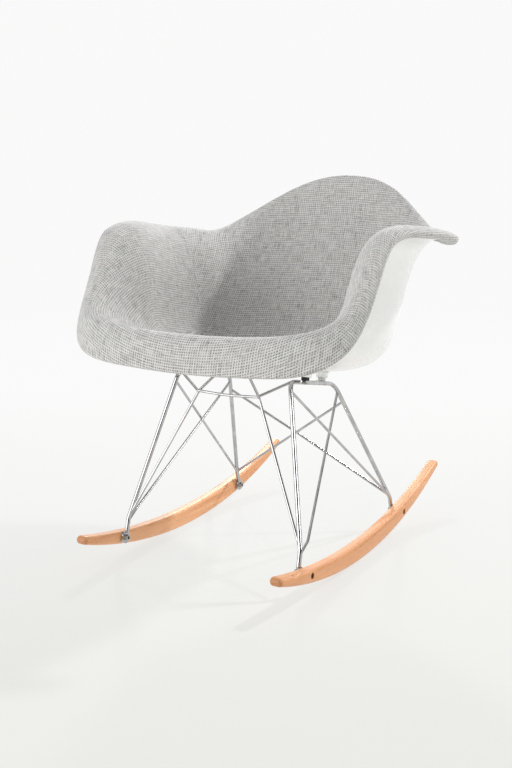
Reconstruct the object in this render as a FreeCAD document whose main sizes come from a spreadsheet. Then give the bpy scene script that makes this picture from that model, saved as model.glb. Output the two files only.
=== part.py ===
import FreeCAD, Part
import math
import os
import Sketcher

# A rocking armchair: a padded, fabric-lined plastic shell on a welded wire base with wooden rockers.
# Frame: X to the sitter's left, the chair faces -Y, Z up from the floor, and the origin lies under the middle
# of the rockers.

doc = FreeCAD.newDocument("rocking_armchair")
Vector = FreeCAD.Vector

# Points that the rolled rim of the padded face passes through on the sitter's left, from the front of the
# seat round the arm to the top of the back. Heights count from the middle of the seat pan. The right half
# mirrors them.
RIM_POINTS = {
    "lip_middle": (0, -318, 25),
    "lip_side": (120, -313, 28),
    "lip_corner": (213, -297, 39),
    "arm_foot": (267, -248, 80),
    "arm_rise": (280, -193, 162),
    "arm_tip": (286, -145, 232),
    "arm_top": (303, -55, 244),
    "arm_widest": (315, 66, 233),
    "arm_heel": (281, 153, 224),
    "back_dip": (220, 202, 241),
    "back_shoulder": (111, 279, 312),
    "back_top": (0, 299, 338),
}

# How the face rolls over towards the rim: how far inside the rim and above it the crown of the roll and
# the flare before it stand, on the front lip, on the arms and on the back.
ROLLS = {
    "lip": {"crown_in": 13, "crown_up": 60, "flare_in": 47, "flare_up": 52},
    "arm": {"crown_in": 27, "crown_up": 18, "flare_in": 80, "flare_up": -11},
    "back": {"crown_in": 14, "crown_up": -20, "flare_in": 17, "flare_up": -70},
}

SIZES = {
    # seat pan, and how far its middle stands over the front end of the wire run below it
    "seat_centre_y": -37,
    "seat_rise": 9,
    "seat_tilt": 10.4,
    "seat_flat": 50,
    "pan_half_width": 95,
    "pan_front": 85,
    "pan_rear": 95,
    "bowl_half_width": 206,
    "bowl_front": 168,
    "bowl_rear": 194,
    "bowl_lift": 4,
    "thigh_lift": 22,
    # layers of the seat, from the fabric face to the outside of the shell
    "fabric_thickness": 1.7,
    "foam_thickness": 6,
    "shell_thickness": 4,
    "glue_gap": 0.3,
    "rim_overhang": 7,
    "fabric_turn_under": 0.25,
    # rockers
    "rocker_spacing": 381,
    "rocker_width": 22.5,
    "rocker_height": 33,
    "rocker_radius": 960,
    "rocker_front": -352,
    "rocker_rear": 352,
    "rocker_contact_y": -31,
    "rocker_nose": 7.5,
    "rocker_edge_round": 6.5,
    # bolts that hold the wire feet to the rockers
    "front_bolt_y": -244,
    "rear_bolt_y": 159,
    "bolt_rise": 13.5,
    "bolt_diameter": 6,
    "bolt_hole": 6.5,
    "bolt_head_diameter": 10,
    "bolt_head_height": 5,
    "bolt_recess_diameter": 11.5,
    "bolt_recess_depth": 8,
    "bolt_washer_thickness": 1,
    "nut_corner_diameter": 11.5,
    "nut_height": 5,
    # side frames of the wire base
    "rod_diameter": 8,
    "brace_diameter": 5,
    "weld_gap": 0.1,
    "run_half_spacing": 112.5,
    "run_front_y": -157,
    "run_front_height": 336,
    "run_slope": 10.4,
    "run_rear_y": 16,
    "run_front_bend": 15,
    "run_rear_bend": 45,
    "knee_bend": 25,
    "front_knee_y": -235.5,
    "rear_knee_y": 147.5,
    "front_knee_height": 72,
    "rear_knee_height": 62,
    "lug_diameter": 22,
    "lug_thickness": 5,
    "lug_overlap": 3,
    "lug_proud": 0.6,
    # wires between the side frames; drops and the rise count from the front end of the run
    "cross_corner_x": 60,
    "cross_corner_y": -175,
    "cross_corner_drop": 28,
    "cross_sag": 3,
    "cross_bend": 12,
    "arch_crown_x": 26,
    "arch_crown_y": -154,
    "arch_crown_rise": 9,
    "arch_bend": 14,
    "front_weld_height": 74,
    "rear_weld_height": 66,
    "front_brace_drop": 17,
    "rear_brace_drop": 48,
    "rear_cross_drop": 68,
    "hook_height": 66,
    "hook_knee_height": 82,
    "hook_knee_back": 25,
    "hook_knee_out": 1,
    "hook_bend": 22,
    "rear_foot_brace_out": 2,
    "front_foot_brace_in": 1.5,
    "rear_cross_bend": 40,
    # shell mounts
    "front_mount_y": -126,
    "rear_mount_y": -13,
    "tab_length": 30,
    "tab_width": 16,
    "tab_thickness": 3,
    "tab_rise": 1,
    "pad_diameter": 14,
    "pad_height": 6,
    "screw_diameter": 6,
    "screw_clearance": 0.5,
    "screw_head_diameter": 11,
    "screw_head_height": 4,
    "insert_diameter": 9,
    "insert_length": 7,
    "boss_diameter": 22,
    "boss_reach": 50,
}


def all_sizes():
    """Every named size: the list above, then the rim points' coordinates and the rolls' offsets."""
    for alias, value in SIZES.items():
        yield alias, value
    for point, coordinates in RIM_POINTS.items():
        for axis, value in zip("xyz", coordinates):
            if value:
                yield f"{point}_{axis}", value
    for zone, offsets in ROLLS.items():
        for offset, value in offsets.items():
            yield f"{zone}_{offset}", value


sheet = doc.addObject("Spreadsheet::Sheet", "sizes")
for row, (alias, value) in enumerate(all_sizes(), start=1):
    sheet.set(f"A{row}", alias.replace("_", " "))
    sheet.set(f"B{row}", str(value))
    sheet.setAlias(f"B{row}", alias)
doc.recompute()


def size(alias):
    """The value of one named cell of the sheet."""
    return float(sheet.get(alias))


SIDES = {"left": 1, "right": -1}
ENDS = ("front", "rear")
OUTWARD_LEFT = Vector(1, 0, 0)
ROD_RADIUS = size("rod_diameter") / 2
BRACE_RADIUS = size("brace_diameter") / 2
parts = []


def finish(item, label):
    """Give an object the name of its part and keep it for writing."""
    item.Label = label
    parts.append(item)
    return item


def finish_pair(item, label):
    """Keep a left-hand piece and its mirror image on the right."""
    finish(item, f"{label}_left")
    mirror = doc.addObject("Part::Mirroring", f"{label}_mirror")
    mirror.Source = item
    mirror.Normal = Vector(1, 0, 0)
    finish(mirror, f"{label}_right")


# Solid-building helpers


def cylinder(name, radius, height, base, direction):
    """A cylinder whose radius and height are expressions on the sheet, standing on base along direction."""
    item = doc.addObject("Part::Cylinder", name)
    item.setExpression("Radius", radius)
    item.setExpression("Height", height)
    item.Placement = FreeCAD.Placement(base, FreeCAD.Rotation(Vector(0, 0, 1), direction))
    return item


def cut(name, base, tool):
    """The base object with the tool taken away."""
    item = doc.addObject("Part::Cut", name)
    item.Base = base
    item.Tool = tool
    return item


def fuse(name, shapes):
    """One solid from several that meet."""
    item = doc.addObject("Part::MultiFuse", name)
    item.Shapes = shapes
    return item


def group(name, items):
    """Several like pieces under one name, each still its own solid."""
    item = doc.addObject("Part::Compound", name)
    item.Links = items
    return item


def body_sketch(body, name, role):
    """A sketch on one of the body's own origin planes."""
    plane = next(f for f in body.Origin.OriginFeatures if f.Role == role)
    sketch = body.newObject("Sketcher::SketchObject", name)
    sketch.AttachmentSupport = [(plane, "")]
    sketch.MapMode = "FlatFace"
    return sketch


def bind(sketch, constraint, expression):
    """Add a dimension to a sketch and drive it from the sheet."""
    index = sketch.addConstraint(constraint)
    sketch.setExpression(f"Constraints[{index}]", expression)


def rounded_path(points, bends):
    """Straight runs through the points, joined at each inner point by a tangent arc of its bend radius."""
    edges = []
    start = points[0]
    for before, corner, after, radius in zip(points, points[1:], points[2:], bends):
        entering = (corner - before).normalize()
        leaving = (after - corner).normalize()
        turn = entering.getAngle(leaving)
        reach = radius * math.tan(turn / 2)
        first = corner - entering * reach
        last = corner + leaving * reach
        inward = (leaving - entering).normalize()
        middle = corner + inward * (radius / math.cos(turn / 2) - radius)
        edges.append(Part.LineSegment(start, first).toShape())
        edges.append(Part.Arc(first, middle, last).toShape())
        start = last
    edges.append(Part.LineSegment(start, points[-1]).toShape())
    return Part.Wire(edges)


def bent_rod(name, radius, points, bends):
    """A round bar bent through the points; its radius is an expression on the sheet."""
    path = doc.addObject("Part::Feature", f"{name}_path")
    path.Shape = rounded_path(points, bends)
    profile = doc.addObject("Part::Circle", f"{name}_section")
    profile.setExpression("Radius", radius)
    turned = FreeCAD.Rotation(Vector(0, 0, 1), points[1] - points[0])
    profile.Placement = FreeCAD.Placement(points[0], turned)
    rod = doc.addObject("Part::Sweep", name)
    rod.Sections = [profile]
    rod.Spine = (path, [f"Edge{n + 1}" for n in range(len(path.Shape.Edges))])
    rod.Solid = True
    return rod


def along(start, end, height):
    """The point of the line from start to end at a height."""
    return start + (end - start) * ((height - start.z) / (end.z - start.z))


# Rockers

ROCKER_X = size("rocker_spacing") / 2
INNER_FACE_X = ROCKER_X - size("rocker_width") / 2


def running_edge(y):
    """Height of the rockers' running edge over the floor."""
    radius = size("rocker_radius")
    return radius - math.sqrt(radius**2 - (y - size("rocker_contact_y")) ** 2)


def bolt_point(end, x):
    """Where a rocker bolt's axis crosses the plane at x."""
    y = size(f"{end}_bolt_y")
    return Vector(x, y, running_edge(y) + size("bolt_rise"))


def rocker_outline(sketch):
    """Running edge, top edge and two rounded noses, tangent to each other all round."""
    contact = size("rocker_contact_y")
    radius = size("rocker_radius")
    nose = size("rocker_nose")
    height = size("rocker_height")
    centre = Vector(contact, radius, 0)
    noses = []
    for reach, inward in (("rocker_front", 1), ("rocker_rear", -1)):
        y = size(reach) + inward * nose
        noses.append(Vector(y, running_edge(y) + nose, 0))
    rise = (noses[0].y + noses[1].y) / 2 + nose - height
    span = (noses[1].x - noses[0].x) / 2
    top_radius = (span**2 + rise**2) / (2 * rise)
    top_centre = Vector(contact, height + top_radius, 0)
    normal = Vector(0, 0, 1)
    circle = Part.Circle

    def arc(middle, size_of_arc, start, end):
        return Part.ArcOfCircle(circle(middle, normal, size_of_arc), start, end)

    def heading(middle, target):
        return math.atan2(target.y - middle.y, target.x - middle.x)

    front, rear = noses
    sketch.addGeometry(arc(centre, radius, heading(centre, front), heading(centre, rear)))
    sketch.addGeometry(arc(rear, nose, heading(centre, rear), heading(rear, top_centre)))
    sketch.addGeometry(arc(top_centre, top_radius, heading(top_centre, front), heading(top_centre, rear)))
    sketch.addGeometry(arc(front, nose, heading(front, top_centre), heading(centre, front) + 2 * math.pi))
    thick = sketch.addGeometry(Part.LineSegment(Vector(contact, 0, 0), Vector(contact, height, 0)), True)
    tangent = Sketcher.Constraint
    bottom_arc, rear_nose, top_arc, front_nose = range(4)
    sketch.addConstraint(tangent("Tangent", bottom_arc, 2, rear_nose, 1))
    sketch.addConstraint(tangent("Tangent", rear_nose, 2, top_arc, 2))
    sketch.addConstraint(tangent("Tangent", top_arc, 1, front_nose, 1))
    sketch.addConstraint(tangent("Tangent", front_nose, 2, bottom_arc, 1))
    sketch.addConstraint(tangent("Vertical", thick))
    sketch.addConstraint(tangent("PointOnObject", thick, 2, top_arc))
    sketch.addConstraint(tangent("PointOnObject", thick, 1, -1))
    bind(sketch, tangent("Radius", bottom_arc, radius), "sizes.rocker_radius")
    bind(sketch, tangent("DistanceY", -1, 1, bottom_arc, 3, radius), "sizes.rocker_radius")
    bind(sketch, tangent("DistanceX", -1, 1, bottom_arc, 3, contact), "sizes.rocker_contact_y")
    bind(sketch, tangent("DistanceX", -1, 1, thick, 1, contact), "sizes.rocker_contact_y")
    bind(sketch, tangent("DistanceY", thick, 1, thick, 2, height), "sizes.rocker_height")
    for index, reach, inward in ((front_nose, "rocker_front", "+"), (rear_nose, "rocker_rear", "-")):
        bind(sketch, tangent("Radius", index, nose), "sizes.rocker_nose")
        place = f"sizes.{reach} {inward} sizes.rocker_nose"
        bind(sketch, tangent("DistanceX", -1, 1, index, 3, noses[0 if inward == "+" else 1].x), place)


def make_rockers():
    """A sawn and rounded wooden runner with a recessed hole for each foot bolt, and its mirror image."""
    body = doc.addObject("PartDesign::Body", "rocker_blank")
    sketch = body_sketch(body, "rocker_outline", "YZ_Plane")
    rocker_outline(sketch)
    pad = body.newObject("PartDesign::Pad", "rocker_pad")
    pad.Profile = sketch
    pad.setExpression("Length", "sizes.rocker_width")
    pad.Midplane = True
    doc.recompute()
    rounded = body.newObject("PartDesign::Fillet", "rocker_edges")
    flat = [n for n, e in enumerate(pad.Shape.Edges, start=1) if e.BoundBox.XLength < 1e-6]
    rounded.Base = (pad, [f"Edge{n}" for n in flat])
    rounded.setExpression("Radius", "sizes.rocker_edge_round")
    body.setExpression("Placement.Base.x", "sizes.rocker_spacing / 2")
    holes = []
    for end in ENDS:
        inner = bolt_point(end, INNER_FACE_X)
        radius = "sizes.bolt_hole / 2"
        holes.append(cylinder(f"bolt_hole_{end}", radius, "sizes.rocker_width", inner, OUTWARD_LEFT))
        seat = bolt_point(end, INNER_FACE_X + size("rocker_width") - size("bolt_recess_depth"))
        radius = "sizes.bolt_recess_diameter / 2"
        holes.append(cylinder(f"bolt_recess_{end}", radius, "sizes.bolt_recess_depth", seat, OUTWARD_LEFT))
    finish_pair(cut("rocker_drilled", body, fuse("rocker_holes", holes)), "rocker")


make_rockers()


# Side frames: one bent rod each, from the front foot over the run under the seat to the rear foot

FOOT_X = INNER_FACE_X - size("weld_gap") - size("lug_proud") - ROD_RADIUS
LUG_X = INNER_FACE_X - size("weld_gap") - size("lug_thickness")
RUN_FALL = math.tan(math.radians(size("run_slope")))
RUN_FRONT = size("run_front_height")


def run_point(sign, y):
    """A point of the axis of the run under the seat."""
    height = RUN_FRONT - (y - size("run_front_y")) * RUN_FALL
    return Vector(sign * size("run_half_spacing"), y, height)


def frame_points(sign):
    """Corners of a side frame's axis: front foot, knee, front corner, rear corner, knee, rear foot."""
    knees = {}
    feet = {}
    for end in ENDS:
        knees[end] = Vector(sign * FOOT_X, size(f"{end}_knee_y"), size(f"{end}_knee_height"))
        lug = bolt_point(end, sign * FOOT_X)
        up = (knees[end] - lug).normalize()
        feet[end] = lug + up * (size("lug_diameter") / 2 - size("lug_overlap"))
    corners = [run_point(sign, size("run_front_y")), run_point(sign, size("run_rear_y"))]
    return [feet["front"], knees["front"], *corners, knees["rear"], feet["rear"]]


def frame_bends():
    """Bend radii at a side frame's four inner corners."""
    return [size(alias) for alias in ("knee_bend", "run_front_bend", "run_rear_bend", "knee_bend")]


def make_side_frames():
    """The bent rod with a flattened, drilled lug at each foot, and its mirror image."""
    rod = bent_rod("side_rod", "sizes.rod_diameter / 2", frame_points(1), frame_bends())
    pieces = [rod]
    for end in ENDS:
        place = bolt_point(end, LUG_X)
        disc = cylinder(f"lug_{end}", "sizes.lug_diameter / 2", "sizes.lug_thickness", place, OUTWARD_LEFT)
        hole = cylinder(f"lug_hole_{end}", "sizes.bolt_hole / 2", "sizes.lug_thickness", place, OUTWARD_LEFT)
        pieces.append(cut(f"lug_drilled_{end}", disc, hole))
    finish_pair(fuse("side_frame_joined", pieces), "side_frame")


make_side_frames()


# Wires welded between and along the side frames. Each wire runs to the axis of the rod it is welded to and
# is then coped to the rod's round.

WIRE_RADIUS = "sizes.brace_diameter / 2"
COPE_RADIUS = "sizes.rod_diameter / 2 + sizes.weld_gap"
coping_rods = []
for side, sign in SIDES.items():
    coping_rods.append(bent_rod(f"coping_rod_{side}", COPE_RADIUS, frame_points(sign), frame_bends()))
coping = group("coping_rods", coping_rods)


def coped_wire(name, points, bends):
    """A wire through the points, coped wherever it meets a side frame."""
    wire = bent_rod(f"{name}_uncut", WIRE_RADIUS, points, bends)
    return cut(name, wire, coping)


def stem_point(sign, end, height):
    """A point of the axis of a front or rear stem, between its knee and its corner under the seat."""
    _, front_knee, front_corner, rear_corner, rear_knee, _ = frame_points(sign)
    if end == "front":
        return along(front_knee, front_corner, height)
    return along(rear_knee, rear_corner, height)


def side_out():
    """Unit direction square to the left side frame's plane, away from the middle of the chair."""
    _, knee, corner, _, rear_knee, _ = frame_points(1)
    square = (corner - knee).cross(rear_knee - knee).normalize()
    return square if square.x > 0 else square * -1


def make_side_braces():
    """Two wires that cross along each side frame: a straight one outside and a hooked one inside."""
    foot = stem_point(1, "rear", size("rear_weld_height"))
    top = stem_point(1, "front", RUN_FRONT - size("front_brace_drop")) + side_out() * size("rear_foot_brace_out")
    finish_pair(coped_wire("rear_foot_wire", [foot, top], []), "rear_foot_brace")
    lug, knee = frame_points(1)[:2]
    foot = along(lug, knee, size("hook_height"))
    hook = Vector(FOOT_X + size("hook_knee_out"), knee.y + size("hook_knee_back"), size("hook_knee_height"))
    top = stem_point(1, "rear", RUN_FRONT - size("rear_brace_drop")) - side_out() * size("front_foot_brace_in")
    finish_pair(coped_wire("front_foot_wire", [foot, hook, top], [size("hook_bend")]), "front_foot_brace")


def make_rear_cross_brace(side, sign):
    """Wire from one rear foot to the other rear stem's top; the pair pass each other at the middle."""
    foot = stem_point(sign, "rear", size("rear_weld_height"))
    top = stem_point(-sign, "rear", RUN_FRONT - size("rear_cross_drop"))
    middle = foot + (top - foot) * (foot.x / (foot.x - top.x))
    square = (top - foot).cross(Vector(foot.x - top.x, 0, top.z - foot.z)).normalize()
    towards_rear = square if square.y > 0 else square * -1
    middle = middle + towards_rear * sign * (BRACE_RADIUS + 2 * size("weld_gap"))
    wire = coped_wire(f"rear_cross_wire_{side}", [foot, middle, top], [size("rear_cross_bend")])
    finish(wire, f"rear_cross_brace_{side}")


make_side_braces()
for side, sign in SIDES.items():
    make_rear_cross_brace(side, sign)


def cross_corner(sign, forward):
    """Where the front cross wire's lower corner and the arch pass each other, each on its own side."""
    y = size("cross_corner_y") - forward * (BRACE_RADIUS + size("weld_gap") / 2)
    return Vector(sign * size("cross_corner_x"), y, RUN_FRONT - size("cross_corner_drop"))


def make_front_cross_wire():
    """Shallow tray-shaped wire between the front corners of the side frames."""
    low = {sign: cross_corner(sign, 1) for sign in (1, -1)}
    middle = (low[1] + low[-1]) / 2 - Vector(0, 0, size("cross_sag"))
    ends = {sign: run_point(sign, size("run_front_y") + size("run_front_bend") / 3) for sign in (1, -1)}
    bends = [size("cross_bend"), 10 * size("cross_corner_x"), size("cross_bend")]
    wire = coped_wire("cross_wire", [ends[1], low[1], middle, low[-1], ends[-1]], bends)
    finish(wire, "front_cross_wire")


def make_front_arch_wire():
    """Arched wire from one front foot up behind the cross wire, under the seat and down to the other."""
    points = []
    for sign in (1, -1):
        foot = stem_point(sign, "front", size("front_weld_height"))
        crown = Vector(sign * size("arch_crown_x"), size("arch_crown_y"), RUN_FRONT + size("arch_crown_rise"))
        half = [foot, cross_corner(sign, -1), crown]
        points += half if sign > 0 else list(reversed(half))
    bends = [3 * size("cross_bend"), size("arch_bend"), size("arch_bend"), 3 * size("cross_bend")]
    finish(coped_wire("arch_wire", points, bends), "front_arch_wire")


make_front_cross_wire()
make_front_arch_wire()


# Bolts, washers and nuts at the rockers

FEET = [(end, side, sign) for end in ENDS for side, sign in SIDES.items()]
BOARD_UNDER_HEAD = "sizes.rocker_width - sizes.bolt_recess_depth + sizes.bolt_washer_thickness"
SHANK_LENGTH = f"{BOARD_UNDER_HEAD} + sizes.weld_gap + sizes.lug_thickness + sizes.nut_height"


def make_rocker_fasteners():
    """Socket bolts in the recesses, a washer under each head and a nut inside each lug."""
    bolts = []
    washers = []
    nuts = []
    head_seat = INNER_FACE_X + size("rocker_width") - size("bolt_recess_depth") + size("bolt_washer_thickness")
    for end, side, sign in FEET:
        name = f"{end}_{side}"
        outward = Vector(sign, 0, 0)
        tip = bolt_point(end, sign * (LUG_X - size("nut_height")))
        shank = cylinder(f"bolt_shank_{name}", "sizes.bolt_diameter / 2", SHANK_LENGTH, tip, outward)
        seat = bolt_point(end, sign * head_seat)
        height = "sizes.bolt_head_height"
        head = cylinder(f"bolt_head_{name}", "sizes.bolt_head_diameter / 2", height, seat, outward)
        bolts.append(fuse(f"bolt_{name}", [shank, head]))
        under = bolt_point(end, sign * (head_seat - size("bolt_washer_thickness")))
        height = "sizes.bolt_washer_thickness"
        ring = cylinder(f"washer_disc_{name}", "sizes.bolt_head_diameter / 2", height, under, outward)
        bore = cylinder(f"washer_bore_{name}", "sizes.bolt_hole / 2", height, under, outward)
        washers.append(cut(f"washer_{name}", ring, bore))
        hexagon = doc.addObject("Part::Prism", f"nut_hexagon_{name}")
        hexagon.Polygon = 6
        hexagon.setExpression("Circumradius", "sizes.nut_corner_diameter / 2")
        hexagon.setExpression("Height", "sizes.nut_height")
        hexagon.Placement = FreeCAD.Placement(tip, FreeCAD.Rotation(Vector(0, 0, 1), outward))
        thread = cylinder(f"nut_bore_{name}", "sizes.bolt_diameter / 2", "sizes.nut_height", tip, outward)
        nuts.append(cut(f"nut_{name}", hexagon, thread))
    finish(group("bolt_group", bolts), "rocker_bolts")
    finish(group("washer_group", washers), "rocker_washers")
    finish(group("nut_group", nuts), "rocker_nuts")


make_rocker_fasteners()


# Shell mounts: a tab welded beside each run, a spacer on it, and a screw up into the shell's boss

RUN_UP = Vector(0, math.sin(math.radians(size("run_slope"))), math.cos(math.radians(size("run_slope"))))
TAB_TOP = size("tab_rise") + size("tab_thickness")
PAD_TOP = TAB_TOP + size("pad_height")


def mount_point(end, sign, rise):
    """A point of a mount's screw axis, at a height over the run's axis square to the run."""
    beside = ROD_RADIUS + size("weld_gap") + size("tab_width") / 2
    offset = beside if end == "front" else -beside
    axis_point = run_point(sign, size(f"{end}_mount_y"))
    return axis_point + Vector(sign * offset, 0, 0) + RUN_UP * rise


def make_tabs(end):
    """A round-ended steel plate with the screw's hole in its middle."""
    body = doc.addObject("PartDesign::Body", f"tab_body_{end}")
    sketch = body_sketch(body, f"tab_outline_{end}", "XY_Plane")
    half = (size("tab_length") - size("tab_width")) / 2
    radius = size("tab_width") / 2
    normal = Vector(0, 0, 1)
    upper = Vector(0, half, 0)
    lower = Vector(0, -half, 0)
    side_step = Vector(radius, 0, 0)
    sketch.addGeometry(Part.ArcOfCircle(Part.Circle(upper, normal, radius), 0, math.pi))
    sketch.addGeometry(Part.LineSegment(upper - side_step, lower - side_step))
    sketch.addGeometry(Part.ArcOfCircle(Part.Circle(lower, normal, radius), math.pi, 2 * math.pi))
    sketch.addGeometry(Part.LineSegment(lower + side_step, upper + side_step))
    hole = size("screw_diameter") + size("screw_clearance")
    sketch.addGeometry(Part.Circle(Vector(0, 0, 0), normal, hole / 2))
    rule = Sketcher.Constraint
    for first, second in ((0, 1), (1, 2), (2, 3), (3, 0)):
        sketch.addConstraint(rule("Tangent", first, 2, second, 1))
    sketch.addConstraint(rule("Equal", 0, 2))
    sketch.addConstraint(rule("PointOnObject", 0, 3, -2))
    sketch.addConstraint(rule("Symmetric", 0, 3, 2, 3, -1, 1))
    sketch.addConstraint(rule("Coincident", 4, 3, -1, 1))
    bind(sketch, rule("Radius", 0, radius), "sizes.tab_width / 2")
    bind(sketch, rule("DistanceY", 2, 3, 0, 3, 2 * half), "sizes.tab_length - sizes.tab_width")
    bind(sketch, rule("Diameter", 4, hole), "sizes.screw_diameter + sizes.screw_clearance")
    pad = body.newObject("PartDesign::Pad", f"tab_plate_{end}")
    pad.Profile = sketch
    pad.setExpression("Length", "sizes.tab_thickness")
    turn = FreeCAD.Rotation(Vector(0, 0, 1), RUN_UP)
    body.Placement = FreeCAD.Placement(mount_point(end, 1, size("tab_rise")), turn)
    finish_pair(body, f"mount_tab_{end}")


def make_spacers(end):
    """A round spacer between each tab and the shell's boss."""
    base = mount_point(end, 1, TAB_TOP)
    disc = cylinder(f"spacer_disc_{end}", "sizes.pad_diameter / 2", "sizes.pad_height", base, RUN_UP)
    radius = "(sizes.screw_diameter + sizes.screw_clearance) / 2"
    bore = cylinder(f"spacer_bore_{end}", radius, "sizes.pad_height", base, RUN_UP)
    finish_pair(cut(f"spacer_{end}", disc, bore), f"mount_spacer_{end}")


def make_screw(end, side, sign):
    """A flat-domed screw from under the tab up into the insert."""
    under = mount_point(end, sign, size("tab_rise") - size("screw_head_height"))
    height = "sizes.screw_head_height"
    head = cylinder(f"screw_head_{end}_{side}", "sizes.screw_head_diameter / 2", height, under, RUN_UP)
    doc.recompute()
    domed = doc.addObject("Part::Fillet", f"screw_dome_{end}_{side}")
    domed.Base = head
    lowest = min(range(len(head.Shape.Edges)), key=lambda n: head.Shape.Edges[n].CenterOfMass.z)
    dome_round = 0.6 * size("screw_head_height")
    domed.Edges = [(lowest + 1, dome_round, dome_round)]
    length = "sizes.tab_thickness + sizes.pad_height + sizes.insert_length"
    base = mount_point(end, sign, size("tab_rise"))
    shank = cylinder(f"screw_shank_{end}_{side}", "sizes.screw_diameter / 2", length, base, RUN_UP)
    return fuse(f"screw_{end}_{side}", [domed, shank])


def make_insert(end, side, sign):
    """A threaded metal sleeve moulded into the boss."""
    base = mount_point(end, sign, PAD_TOP)
    length = "sizes.insert_length"
    sleeve = cylinder(f"insert_sleeve_{end}_{side}", "sizes.insert_diameter / 2", length, base, RUN_UP)
    thread = cylinder(f"insert_bore_{end}_{side}", "sizes.screw_diameter / 2", length, base, RUN_UP)
    return cut(f"insert_{end}_{side}", sleeve, thread)


for end in ENDS:
    make_tabs(end)
    make_spacers(end)
finish(group("screw_group", [make_screw(*foot) for foot in FEET]), "mount_screws")
finish(group("insert_group", [make_insert(*foot) for foot in FEET]), "threaded_inserts")


# The seat: one smooth face, from a flat middle out to the rolled rim, and layers at set depths below it

POINT_NAMES = list(RIM_POINTS)
SEAT_FALL = math.tan(math.radians(size("seat_tilt")))
SEAT_UP = Vector(0, SEAT_FALL, 1).normalize()
SEAT_MIDDLE = Vector(0, 0, RUN_FRONT + size("seat_rise"))


def cell(alias):
    """A cell's value, or zero where the point lies on the mirror plane and has no such cell."""
    return size(alias) if sheet.getCellFromAlias(alias) else 0.0


RIM = [SEAT_MIDDLE + Vector(*(cell(f"{name}_{axis}") for axis in "xyz")) for name in POINT_NAMES]


def mirrored(half):
    """A whole ring from its left half, which starts and ends on the mirror plane."""
    return half + [Vector(-p.x, p.y, p.z) for p in reversed(half[1:-1])]


def through(half):
    """Poles of the closed smooth curve that passes through the points of a ring."""
    points = mirrored(half)
    poles = list(points)
    count = len(points)
    for _ in range(60):
        curve = [(poles[n - 1] + poles[n] * 4 + poles[(n + 1) % count]) / 6 for n in range(count)]
        poles = [pole + point - reached for pole, point, reached in zip(poles, points, curve)]
    return poles[: len(half)]


def heading(point):
    """Unit direction in plan from the middle of the seat towards a point."""
    flat = Vector(point.x, point.y - size("seat_centre_y"), 0)
    return flat.normalize()


def seat_plane(x, y):
    """The point of the tilted seat plane over x and y."""
    return Vector(x, y, SEAT_MIDDLE.z - (y - size("seat_centre_y")) * SEAT_FALL)


def oval_ring(half_width, front, rear, power):
    """A ring on the seat plane: an oval with its own reach to the front and to the rear."""
    points = []
    for towards in map(heading, RIM):
        depth = front if towards.y < 0 else rear
        reach = (abs(towards.x / half_width) ** power + abs(towards.y / depth) ** power) ** (-1 / power)
        points.append(seat_plane(towards.x * reach, size("seat_centre_y") + towards.y * reach))
    return points


def zone_share(name):
    """How much of the lip's, the arm's and the back's roll a rim point takes."""
    if name.startswith("lip"):
        return {"lip": 1}
    if name in ("arm_foot", "arm_rise"):
        arm = (size(f"{name}_z") - size("lip_middle_z")) / (size("arm_tip_z") - size("lip_middle_z"))
        return {"lip": 1 - arm, "arm": arm}
    if name == "back_dip":
        return {"arm": 0.5, "back": 0.5}
    return {name.split("_")[0]: 1}


def roll_ring(part):
    """The ring of the roll's crown or flare, set in from the rim and up from it zone by zone."""
    points = []
    for name, point in zip(POINT_NAMES, RIM):
        shares = zone_share(name).items()
        inward = sum(share * size(f"{zone}_{part}_in") for zone, share in shares)
        upward = sum(share * size(f"{zone}_{part}_up") for zone, share in shares)
        points.append(point - heading(point) * inward + Vector(0, 0, upward))
    return points


def bowl_ring():
    """The ring where the seat turns up into the walls, lifted under the thighs more than elsewhere."""
    oval_power = 2.2
    ring = oval_ring(size("bowl_half_width"), size("bowl_front"), size("bowl_rear"), oval_power)
    lifted = []
    for point in ring:
        forward = max(0.0, -heading(point).y)
        lift = size("bowl_lift") + (size("thigh_lift") - size("bowl_lift")) * forward
        lifted.append(point + Vector(0, 0, lift))
    return lifted


def face_rows():
    """Rows of poles of the padded face, from the flat middle of the seat out to the rim."""
    flat = through(oval_ring(size("seat_flat"), size("seat_flat"), size("seat_flat"), 2))
    pan = through(oval_ring(size("pan_half_width"), size("pan_front"), size("pan_rear"), 2))
    bowl = through(bowl_ring())
    flare = through(roll_ring("flare"))
    wall = [low + (high - low) * 0.45 for low, high in zip(bowl, flare)]
    return [flat, pan, bowl, wall, flare, through(roll_ring("crown")), through(RIM)]


def skin(rows):
    """A surface closed round the seat and clamped from its first row of poles to its last."""
    whole = [mirrored(row) for row in rows]
    round_count = len(whole[0])
    degree = min(3, len(whole) - 1)
    spans = len(whole) - degree
    surface = Part.BSplineSurface()
    surface.buildFromPolesMultsKnots(
        [list(meridian) for meridian in zip(*whole)],
        [1] * (round_count + 1),
        [degree + 1] + [1] * (spans - 1) + [degree + 1],
        list(range(round_count + 1)),
        list(range(spans + 1)),
        True,
        False,
        3,
        degree,
    )
    return surface


FACE = face_rows()


def face_normals():
    """For each pole of the face, the direction towards the sitter where the face passes nearest to it."""
    surface = skin(FACE)
    rows = [[SEAT_UP for _ in FACE[0]], [SEAT_UP for _ in FACE[1]]]
    for row in FACE[2:]:
        normals = []
        for pole in row:
            normal = surface.normal(*surface.parameter(pole))
            normals.append(normal)
        rows.append(normals)
    if rows[-1][0].y > 0:
        rows = rows[:2] + [[normal * -1 for normal in row] for row in rows[2:]]
    for row in rows:
        for end in (0, -1):
            row[end] = Vector(0, row[end].y, row[end].z).normalize()
    return rows


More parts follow.
